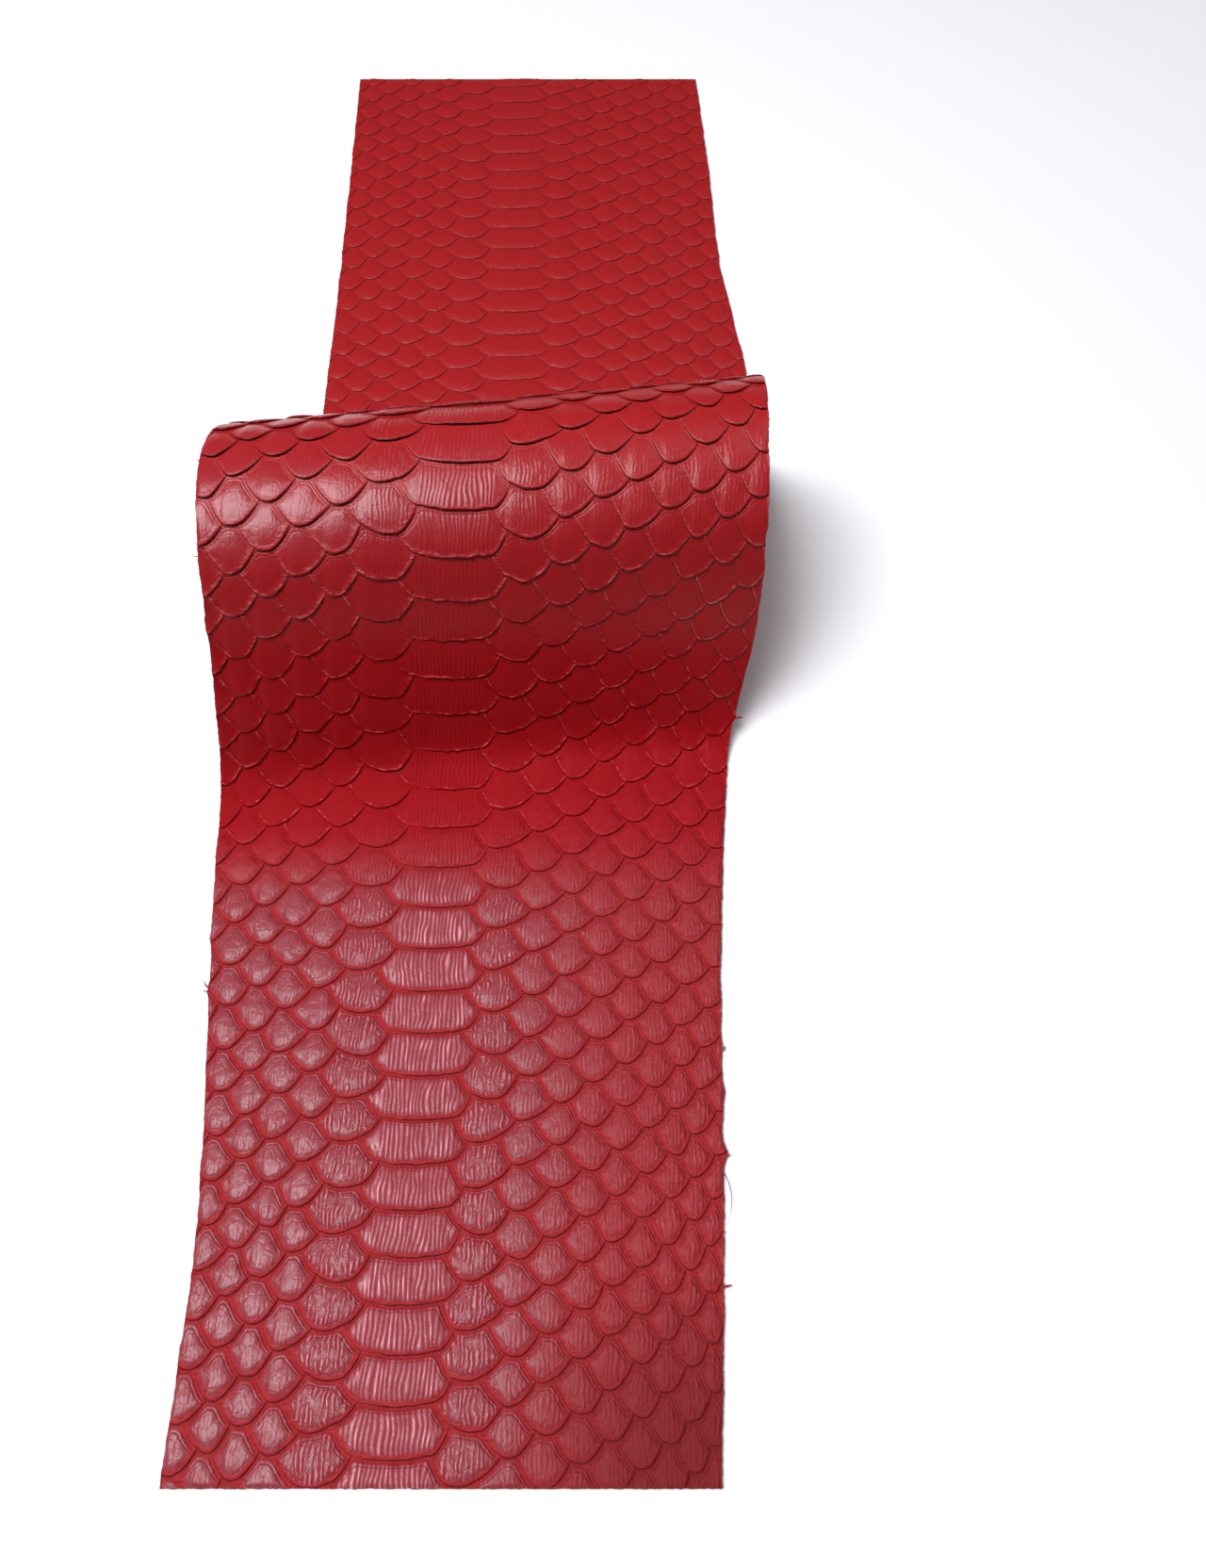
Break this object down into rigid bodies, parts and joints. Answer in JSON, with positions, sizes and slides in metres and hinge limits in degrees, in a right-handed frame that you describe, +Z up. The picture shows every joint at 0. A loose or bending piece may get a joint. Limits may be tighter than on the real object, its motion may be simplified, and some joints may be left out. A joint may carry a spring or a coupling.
{
  "type": "tanned snake skin",
  "caption": "Strip of red dyed tanned snake skin with broad belly plates and diamond side scales, flat at both ends and arched up in a soft hump between them.",
  "frame": {"origin": "middle of the bottom of the strip's box, on the surface that the strip rests on", "axes": "+Y along the strip from the tail end to the head end, +Z up, out of the scaled side of the flat ends"},
  "size_m": [0.1792, 0.5812, 0.0837],
  "materials": {
    "dyed_leather": "satin"
  },
  "bodies": {
    "root": {"snake_skin": "dyed_leather"}
  },
  "joints": []
}
